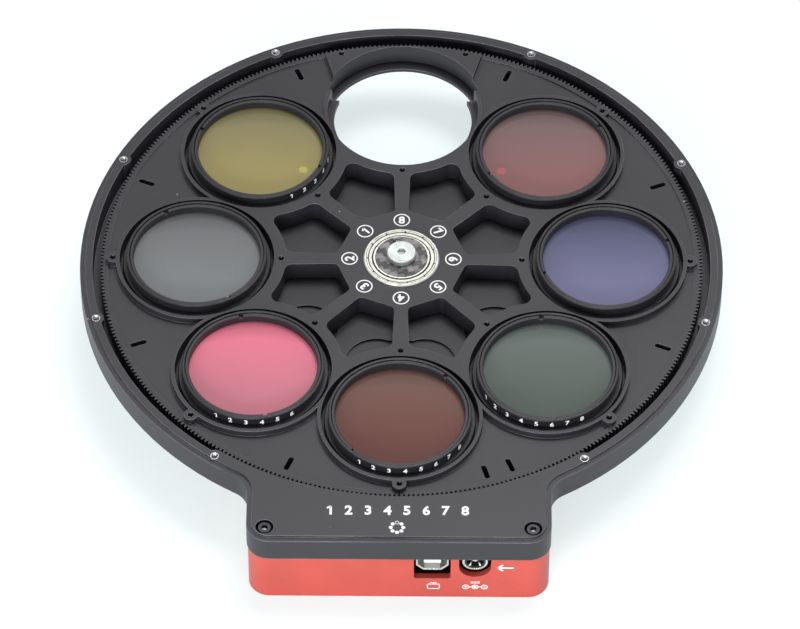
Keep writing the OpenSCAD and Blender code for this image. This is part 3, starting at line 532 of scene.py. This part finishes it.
FILL_STRENGTH = 0.46
GLOSS_STRENGTH = 0.62

# Name, place, target, width, height and power in watts
LAMPS = (
    ("key_light", (0.2, 0.42, 1.5), (0, 0, 0), 0.8, 0.6, 15.0),
    ("fill_light", (-0.35, -1.5, 0.4), (0, -0.1, 0.02), 1.2, 0.5, 26.0),
)


def aim(piece, target):
    piece.rotation_euler = (Vector(target) - piece.location).to_track_quat("-Z", "Y").to_euler()


def softbox(name, place, target, width, height, watts):
    lamp = bpy.data.lights.new(name, "AREA")
    lamp.shape = "RECTANGLE"
    lamp.size = width
    lamp.size_y = height
    lamp.energy = watts
    made = bpy.data.objects.new(name, lamp)
    bpy.context.scene.collection.objects.link(made)
    made.location = place
    aim(made, target)


def set_camera():
    """The camera stands in front and well above, far off with a long lens, and is very slightly rolled."""
    lens = bpy.data.cameras.new("camera")
    lens.lens = CAMERA_LENS
    lens.sensor_width = SENSOR_WIDTH
    made = bpy.data.objects.new("camera", lens)
    bpy.context.scene.collection.objects.link(made)
    raised = Vector((0.0, 0.0, WHEEL_TOP))
    made.location = Vector(CAMERA_PLACE) + raised
    aim(made, Vector(CAMERA_TARGET) + raised)
    rolled = made.rotation_euler.to_matrix() @ Matrix.Rotation(CAMERA_ROLL, 3, "Z")
    made.rotation_euler = rolled.to_euler()
    bpy.context.scene.camera = made


def background_rays(finish):
    """1 for the rays that should meet a plain white background: camera, glossy and transmission."""
    path = finish.node("ShaderNodeLightPath").link.node
    seen = Value(finish, path.outputs["Is Camera Ray"])
    for kind in ("Is Glossy Ray", "Is Transmission Ray"):
        seen = finish.math("MAXIMUM", seen, Value(finish, path.outputs[kind]))
    return seen


def lay_floor():
    """A pale floor just under the part. It can be seen through from below."""
    bpy.ops.object.select_all(action="DESELECT")
    bpy.ops.mesh.primitive_plane_add(size=FLOOR_SIZE, location=(0.0, 0.0, -FLOOR_DROP))
    floor = bpy.context.object
    floor.name = "floor"
    finish = Finish("pale_floor", srgb(244, 244, 244), 0.9)
    seen = background_rays(finish)
    glow = finish.node("ShaderNodeEmission", None, {"Color": FLOOR_GLOW, "Strength": 1.0})
    mixed = finish.mix(seen * FLOOR_GLOW_SHARE, finish.surface(), glow)
    below = finish.node("ShaderNodeNewGeometry", out="Backfacing")
    clear = finish.node("ShaderNodeBsdfTransparent")
    finish.show(finish.mix(below, mixed, clear))
    floor.data.materials.append(finish.material)


def light_world():
    """White backdrop: full for the camera, softer in reflections, and softer still as fill light."""
    world = bpy.data.worlds.new("studio")
    bpy.context.scene.world = world
    world.use_nodes = True
    tree = world.node_tree
    backdrop = tree.nodes["Background"]
    backdrop.inputs["Color"].default_value = WHITE
    path = tree.nodes.new("ShaderNodeLightPath")
    strength = FILL_STRENGTH
    for ray, level in (("Is Glossy Ray", GLOSS_STRENGTH), ("Is Camera Ray", 1.0)):
        step = tree.nodes.new("ShaderNodeMix")
        tree.links.new(path.outputs[ray], step.inputs[0])
        if isinstance(strength, float):
            step.inputs[2].default_value = strength
        else:
            tree.links.new(strength, step.inputs[2])
        step.inputs[3].default_value = level
        strength = step.outputs[0]
    tree.links.new(strength, backdrop.inputs["Strength"])


bpy.context.scene.view_settings.view_transform = "Standard"
set_camera()
lay_floor()
light_world()
for lamp_settings in LAMPS:
    softbox(*lamp_settings)


# ---------- modelling helpers ----------


def start(add, **how):
    """Adds a primitive with nothing else selected."""
    bpy.ops.object.select_all(action="DESELECT")
    add(**how)
    return bpy.context.object


def pick(made, test):
    """In edit mode, selects the vertices whose place passes the test."""
    bpy.ops.mesh.select_mode(type="VERT")
    mesh = bmesh.from_edit_mesh(made.data)
    for vertex in mesh.verts:
        vertex.select = bool(test(vertex.co))
    mesh.select_flush_mode()
    bmesh.update_edit_mesh(made.data)


def apply_place():
    """Moves the active piece's place, turn and size into its mesh."""
    bpy.ops.object.transform_apply(location=True, rotation=True, scale=True)


def apply_modifier(made, kind, **settings):
    """Gives a piece a modifier with these settings and applies it."""
    bpy.ops.object.modifier_add(type=kind)
    for key, value in settings.items():
        setattr(made.modifiers[-1], key, value)
    bpy.ops.object.modifier_apply(modifier=made.modifiers[-1].name)


def settle(made, name, body, finish):
    """Puts a piece's place in its mesh, gives it its finish and hands it to its body."""
    made.name = name
    bpy.ops.object.select_all(action="DESELECT")
    made.select_set(True)
    bpy.context.view_layer.objects.active = made
    apply_place()
    made.data.materials.clear()
    made.data.materials.append(finish)
    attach(made, body)
    return made


def join(pieces):
    bpy.ops.object.select_all(action="DESELECT")
    for piece in pieces:
        piece.select_set(True)
    bpy.context.view_layer.objects.active = pieces[0]
    if len(pieces) > 1:
        bpy.ops.object.join()
    return pieces[0]


def copy_to(made, place, turn=0.0):
    """A copy with its own mesh, at a place and turned about Z."""
    twin = made.copy()
    twin.data = made.data.copy()
    bpy.context.scene.collection.objects.link(twin)
    twin.matrix_world = Matrix.Translation(place) @ Matrix.Rotation(turn, 4, "Z")
    return twin


# ---------- printed marks ----------

INK = 0.00004


def raise_print(thick):
    """In edit mode, raises all that is there by the thickness of the print."""
    bpy.ops.mesh.select_all(action="SELECT")
    bpy.ops.mesh.extrude_region_move(TRANSFORM_OT_translate={"value": (0, 0, thick)})


def close_print():
    """Turns all faces outwards and leaves edit mode."""
    bpy.ops.mesh.select_all(action="SELECT")
    bpy.ops.mesh.normals_make_consistent(inside=False)
    bpy.ops.object.mode_set(mode="OBJECT")


def filled_circle(radius, sides, place):
    return start(
        bpy.ops.mesh.primitive_circle_add, vertices=sides, radius=radius, fill_type="NGON", location=place
    )


def flat_ring(outer, width, thick, place=(0.0, 0.0, 0.0)):
    """A thin printed ring: a disc inset to its width, its middle taken out, and raised by the ink."""
    made = filled_circle(outer, 56, place)
    bpy.ops.object.mode_set(mode="EDIT")
    bpy.ops.mesh.select_all(action="SELECT")
    bpy.ops.mesh.inset(thickness=width)
    bpy.ops.mesh.delete(type="FACE")
    raise_print(thick)
    close_print()
    return made


def flat_disc(radius, thick, place=(0.0, 0.0, 0.0)):
    """A printed dot with a slightly rounded edge."""
    made = filled_circle(radius, 32, place)
    bpy.ops.object.mode_set(mode="EDIT")
    raise_print(thick)
    bpy.ops.mesh.inset(thickness=radius * 0.06)
    close_print()
    return made


# Size of the text, and the flag of the numeral 1, as shares of the numeral's height
TEXT_SIZE = 1.4
FLAG_X, FLAG_Y = -0.18, 0.9
FLAG_LENGTH, FLAG_WIDTH = 0.46, 0.2
FLAG_TURN = math.radians(38)


def numeral(text, height, weight):
    """A printed numeral as a mesh, centred on the origin, of the given height and boldness."""
    made = start(bpy.ops.object.text_add)
    made.data.body = text
    made.data.align_x = "CENTER"
    made.data.size = height * TEXT_SIZE
    made.data.offset = weight
    made.data.extrude = INK / 2
    made.data.resolution_u = 4
    bpy.ops.object.convert(target="MESH")
    made = bpy.context.object
    if text == "1":
        spot = (FLAG_X * height, FLAG_Y * height, 0.0)
        flag = start(bpy.ops.mesh.primitive_cube_add, size=1.0, location=spot)
        flag.scale = (FLAG_LENGTH * height, FLAG_WIDTH * height, INK)
        flag.rotation_euler = (0, 0, FLAG_TURN)
        made = join([made, flag])
    low = Vector(made.bound_box[0])
    high = Vector(made.bound_box[6])
    size = high - low
    grow = height / size.y
    shift = Matrix.Translation(-(low + high) / 2)
    made.data.transform(Matrix.Diagonal((grow, grow, 1.0, 1.0)) @ shift)
    return made


MARK_R = 17.76 * MM
MARK_OUTER = 2.85 * MM
MARK_LINE = 0.42 * MM
MARK_HEIGHT = 3.3 * MM
MARK_WEIGHT = 0.00016

# Tab marks: ends and height of the row of numbers, then the middle of the wheel plan, from the axis
TAB_NUMBERS_LEFT, TAB_NUMBERS_RIGHT, TAB_NUMBERS_Y = -23.0, 21.8, -110.3
TAB_NUMBER_HEIGHT = 3.9 * MM
TAB_NUMBER_WEIGHT = 0.0002
PLAN_X, PLAN_Y = -0.6, -117.5
PLAN_R = 2.05
PLAN_DOT = 0.66 * MM
PLAN_RING, PLAN_LINE = 0.72 * MM, 0.2 * MM


def print_station_marks():
    """A circled number beside the hub for each station, its top outwards."""
    for n in range(1, STATIONS + 1):
        angle = station_angle(n)
        digit = numeral(str(n), MARK_HEIGHT, MARK_WEIGHT)
        digit.data.transform(Matrix.Translation((0, 0, INK / 2)))
        ring = flat_ring(MARK_OUTER, MARK_LINE, INK)
        mark = join([ring, digit])
        turn = Matrix.Rotation(angle - math.pi / 2, 4, "Z")
        mark.matrix_world = Matrix.Translation(at_polar(MARK_R, angle)) @ turn
        settle(mark, f"station_mark_{n}", WHEEL, white_ink)


def print_tab_scale():
    """Plain numbers along the tab, and under them a small plan of the wheel: seven dots and one open ring."""
    numbers = []
    for n in range(1, STATIONS + 1):
        digit = numeral(str(n), TAB_NUMBER_HEIGHT, TAB_NUMBER_WEIGHT)
        x = TAB_NUMBERS_LEFT + (TAB_NUMBERS_RIGHT - TAB_NUMBERS_LEFT) * (n - 1) / (STATIONS - 1)
        digit.matrix_world = Matrix.Translation(from_axis(x, TAB_NUMBERS_Y) + Vector((0, 0, INK / 2)))
        numbers.append(digit)
    settle(join(numbers), "tab_numbers", HOUSING, white_ink)
    plan = []
    for n in range(1, STATIONS + 1):
        angle = station_angle(n)
        place = from_axis(PLAN_X, PLAN_Y) + Vector((math.cos(angle), math.sin(angle), 0)) * PLAN_R * MM
        if n == STATIONS:
            plan.append(flat_ring(PLAN_RING, PLAN_LINE, INK, place))
        else:
            plan.append(flat_disc(PLAN_DOT, INK, place))
    settle(join(plan), "tab_wheel_plan", HOUSING, white_ink)


# Marks on the base's front face, upside down as they are read from the other side.
FRONT_Y = (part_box("base")[0].y - AXIS.y) / MM
MARK_STROKE = 0.32
ARROW_STROKE = 0.6
CURRENT_STROKE = 0.28
FACING_FRONT = Matrix.Rotation(math.pi / 2, 4, "X") @ Matrix.Rotation(math.pi, 4, "Z")


def flat_bar(length, width, place=(0.0, 0.0), turn=0.0):
    """A printed line, in millimetres."""
    made = start(bpy.ops.mesh.primitive_plane_add, size=1.0, location=(place[0] * MM, place[1] * MM, 0.0))
    made.rotation_euler = (0, 0, turn)
    made.scale = (length * MM, width * MM, 1.0)
    apply_place()
    bpy.ops.object.mode_set(mode="EDIT")
    raise_print(INK)
    close_print()
    return made


def stick_on_front(pieces, name, x, z):
    """Joins the pieces of a mark and lays it on the base's front face."""
    mark = join(pieces)
    apply_place()
    mark.matrix_world = Matrix.Translation(from_axis(x, FRONT_Y, z)) @ FACING_FRONT
    settle(mark, name, HOUSING, white_ink)


def print_socket_marks():
    """Generic signs by the sockets: a screen, an arrow, a direct-current sign and the plug's polarity."""
    line = MARK_STROKE
    screen = [flat_bar(4.2, line, (0, side * 1.2)) for side in (-1, 1)]
    screen += [flat_bar(line, 2.7, (side * 1.95, 0)) for side in (-1, 1)]
    screen += [flat_bar(2.2, line, (0, -2.0)), flat_bar(line, 0.8, (0, -1.6))]
    stick_on_front(screen, "mark_screen", 11.5, -24.6)
    arrow = [flat_bar(5.4, ARROW_STROKE, (0.6, 0.0))]
    arrow += [flat_bar(2.4, ARROW_STROKE, (-1.5, side * 0.75), side * -0.75) for side in (-1, 1)]
    for piece in arrow[1:]:
        piece.data.transform(Matrix.Translation((3.9 * MM, 0, 0)))
    stick_on_front(arrow, "mark_arrow", 35.9, -14.6)
    ring_r = 1.15 * MM
    polarity = [flat_ring(ring_r, line * MM, INK, (x * MM, 0, 0)) for x in (-3.1, 0.0, 3.1)]
    polarity += [flat_disc(0.5 * MM, INK), flat_bar(1.1, line, (-1.5, 0)), flat_bar(1.6, line, (1.3, 0))]
    polarity += [flat_bar(1.1, 0.26, (x, 0)) for x in (-3.1, 3.1)] + [flat_bar(0.26, 1.1, (3.1, 0))]
    stick_on_front(polarity, "mark_polarity", 25.3, -24.8)
    current = [flat_bar(3.0, CURRENT_STROKE, (0, 0.3))]
    current += [flat_bar(0.8, CURRENT_STROKE, (x, -0.3)) for x in (-1.1, 0.0, 1.1)]
    stick_on_front(current, "mark_direct_current", 25.3, -22.4)


# ---------- threads and small metal details ----------

HOUSING_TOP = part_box("housing")[1].z
COVER_HOLE_R = 107 * MM
COVER_HOLE_ANGLES = (25, 65, 105, 145)
COVER_TAP_R = 1.25 * MM
MASK_TAP_R = 1.05 * MM
MASK_INNER_R = 41.2 * MM
MASK_OUTER_R = 98.8 * MM
OPEN_STATION_R = 99.2 * MM
OPEN_STATION_TURN = math.radians(12.8)
SLEEVE_GAP = 0.02 * MM
SLEEVE_WALL = 0.08 * MM

# Length, pitch and depth of a thread, and how far its sleeve starts below the face
COVER_THREAD = (4.0 * MM, 0.5 * MM, 0.2 * MM)
COVER_THREAD_DROP = 0.12 * MM
MASK_THREAD = (3.2 * MM, 0.4 * MM, 0.16 * MM)
MASK_THREAD_DROP = 0.15 * MM

# How far a cover hole's rim reaches past the hole, its width and its thickness
RIM_REACH = 0.2 * MM
RIM_WIDTH = 0.22 * MM
RIM_THICK = 0.02 * MM


def threaded_sleeve(radius, length, pitch, depth):
    """An open threaded tube that reaches down from the origin, with ridges one pitch apart."""
    made = start(
        bpy.ops.mesh.primitive_cylinder_add,
        vertices=20,
        radius=radius,
        depth=length,
        end_fill_type="NOTHING",
        location=(0.0, 0.0, -length / 2),
    )
    apply_place()
    bpy.ops.object.mode_set(mode="EDIT")
    bpy.ops.mesh.select_all(action="DESELECT")
    bpy.ops.mesh.select_mode(type="EDGE")
    mesh = bmesh.from_edit_mesh(made.data)
    for edge in mesh.edges:
        edge.select = abs(edge.verts[0].co.z - edge.verts[1].co.z) > length / 2
    bmesh.update_edit_mesh(made.data)
    cuts = 2 * round(length / pitch) - 1
    bpy.ops.mesh.subdivide(number_cuts=cuts)
    step = length / (cuts + 1)
    pick(made, lambda spot: round(-spot.z / step) % 2 == 1)
    inwards = 1 - depth / radius
    bpy.ops.transform.resize(value=(inwards, inwards, 1.0), center_override=(0.0, 0.0, 0.0))
    bpy.ops.object.mode_set(mode="OBJECT")
    apply_modifier(made, "SOLIDIFY", thickness=SLEEVE_WALL)
    return made


def lay_copies(made, places, name, body, finish):
    """Copies a piece to each place, joins the copies and takes the first one away."""
    copies = [copy_to(made, place, turn) for place, turn in places]
    bpy.data.objects.remove(made)
    settle(join(copies), name, body, finish)


def cut_threads():
    """Threads in the cover's tapped holes and in the mask holes of the wheel."""
    cover = [math.pi / 2 + side * math.radians(turn) for turn in COVER_HOLE_ANGLES for side in (-1, 1)]
    places = [(at_polar(COVER_HOLE_R, angle, HOUSING_TOP - COVER_THREAD_DROP), 0.0) for angle in cover]
    sleeve = threaded_sleeve(COVER_TAP_R - SLEEVE_GAP, *COVER_THREAD)
    lay_copies(sleeve, places, "cover_hole_threads", HOUSING, bare_aluminium)
    rims = [(at_polar(COVER_HOLE_R, angle, HOUSING_TOP), 0.0) for angle in cover]
    rim = flat_ring(COVER_TAP_R + RIM_REACH, RIM_WIDTH, RIM_THICK)
    lay_copies(rim, rims, "cover_hole_rims", HOUSING, bare_aluminium)
    below = WHEEL_TOP - MASK_THREAD_DROP
    taps = [at_polar(MASK_INNER_R, station_angle(n), below) for n in range(1, STATIONS + 1)]
    taps += [at_polar(MASK_OUTER_R, station_angle(n), below) for n in FILTERS]
    taps += [at_polar(OPEN_STATION_R, math.pi / 2 + side * OPEN_STATION_TURN, below) for side in (-1, 1)]
    sleeve = threaded_sleeve(MASK_TAP_R - SLEEVE_GAP, *MASK_THREAD)
    places = [(tap, 0.0) for tap in taps]
    lay_copies(sleeve, places, "mask_hole_threads", WHEEL, finishes["black_screw"])


CRIMPS = 11
CRIMP_R = 11.62 * MM
CRIMP_START = math.radians(182)
CRIMP_LIFT = 0.17 * MM
CRIMP_SIZE = (0.5 * MM, 0.55 * MM, 0.14 * MM)
CRIMP_ROUNDING = 0.05 * MM


def crimp_shield():
    """Small pressed notches that hold the shield in the bearing's outer ring, laid as dark bars whose colour is
    painted shade.
    """
    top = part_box("shield_top")[1].z
    # Each notch is laid as a dark bar: its colour is painted shade.
    notch = start(bpy.ops.mesh.primitive_cube_add, size=1.0)
    notch.scale = CRIMP_SIZE
    apply_place()
    apply_modifier(notch, "BEVEL", width=CRIMP_ROUNDING, segments=2)
    places = []
    for k in range(CRIMPS):
        angle = CRIMP_START - math.tau * k / CRIMPS
        places.append((at_polar(CRIMP_R, angle, top + CRIMP_LIFT), angle))
    lay_copies(notch, places, "shield_crimps", WHEEL, finishes["black_screw"])


EDGE_ROUNDING = 0.04 * MM
POINT_TIP_R = 0.25 * MM
POINT_HEIGHT = 0.3 * MM

# Piece, screw, radius, and depth below the screw's top, in millimetres
DRILL_POINTS = (
    ("hub_screw_point", "hub_screw", 1.34, 1.25),
    ("front_screw_point_l", "front_screw_l", 0.95, 1.2),
    ("front_screw_point_r", "front_screw_r", 0.95, 1.2),
)


def drill_points():
    """Bottoms of the screw sockets, dished where the drill's point was, painted pale as a highlight."""
    for name, node, radius, depth in DRILL_POINTS:
        low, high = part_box(node)
        spot = (low + high) / 2
        made = start(
            bpy.ops.mesh.primitive_cone_add,
            vertices=24,
            radius1=radius * MM,
            radius2=POINT_TIP_R,
            depth=POINT_HEIGHT,
            location=(spot.x, spot.y, high.z - depth * MM),
        )
        apply_modifier(made, "BEVEL", width=EDGE_ROUNDING)
        settle(made, name, HOUSING, socket_highlight_plating)


SHELL_FLOOR = 0.5 * MM
LOBE_R = 1.15 * MM
SHEET_SIZE = (6.6 * MM, 6.4 * MM, 0.1 * MM)


def fit_power_contacts():
    """Two sprung contacts low in the power socket."""
    low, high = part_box("jack_ring")
    centre = (low + high) / 2
    lobes = []
    for side in (-1, 1):
        lobe = start(
            bpy.ops.mesh.primitive_uv_sphere_add,
            segments=24,
            ring_count=14,
            radius=LOBE_R,
            location=(centre.x + side * 1.6 * MM, low.y + 1.9 * MM, centre.z - 1.9 * MM),
        )
        lobe.scale = (0.62, 1.7, 1.05)
        lobe.rotation_euler = (math.radians(12), side * math.radians(-24), 0)
        lobes.append(lobe)
    settle(join(lobes), "power_contacts", HOUSING, finishes["socket_metal"])


def fit_data_socket_floor():
    """A sheet on the floor of the data socket's shell, painted pale as a highlight."""
    low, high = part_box("usb_shell")
    place = ((low.x + high.x) / 2, low.y + 3.4 * MM, low.z + SHELL_FLOOR + 0.06 * MM)
    sheet = start(bpy.ops.mesh.primitive_cube_add, size=1.0, location=place)
    sheet.scale = SHEET_SIZE
    apply_place()
    apply_modifier(sheet, "BEVEL", width=EDGE_ROUNDING, segments=2)
    settle(sheet, "data_socket_floor", HOUSING, socket_highlight_plating)


NECK_R = 24.0 * MM
NECK_MARK_HEIGHT = 2.1 * MM
NECK_MARK_WEIGHT = 0.0001
NECK_MARK_LIFT = 0.3 * MM

# For a cell: angles of the first and the last number in degrees, and how many numbers there are
NECK_MARKS = {1: (-62, -10, 5), 3: (-120, -56, 6), 4: (-124, -34, 8), 5: (-150, -62, 8)}


def number_cells():
    """Plain numbers round the neck of some cells, as on a dial, their tops up."""
    for n, (first, last, count) in NECK_MARKS.items():
        centre = middle(f"cell_{n}")
        height = WHEEL_TOP + NECK_MARK_LIFT
        digits = []
        for k in range(count):
            angle = math.radians(first + (last - first) * k / (count - 1))
            digit = numeral(str(k + 1), NECK_MARK_HEIGHT, NECK_MARK_WEIGHT)
            out = Vector((math.cos(angle), math.sin(angle), 0.0)) * (NECK_R + INK / 2)
            place = Matrix.Translation(Vector((centre.x, centre.y, height)) + out)
            turn = Matrix.Rotation(angle + math.pi / 2, 4, "Z") @ Matrix.Rotation(math.pi / 2, 4, "X")
            digit.matrix_world = place @ turn
            digits.append(digit)
        settle(join(digits), f"cell_numbers_{n}", WHEEL, white_ink)


bare_aluminium = plain_metal("bare_thread_aluminium", srgb(206, 207, 210), 0.3)
# Pale matte plating: a painted highlight in the socket bottoms and on the data socket's floor.
socket_highlight_plating = moulded("socket_plating_painted_highlight", srgb(206, 208, 207), 0.4)

print_station_marks()
print_tab_scale()
print_socket_marks()
cut_threads()
crimp_shield()
drill_points()
fit_power_contacts()
fit_data_socket_floor()
number_cells()
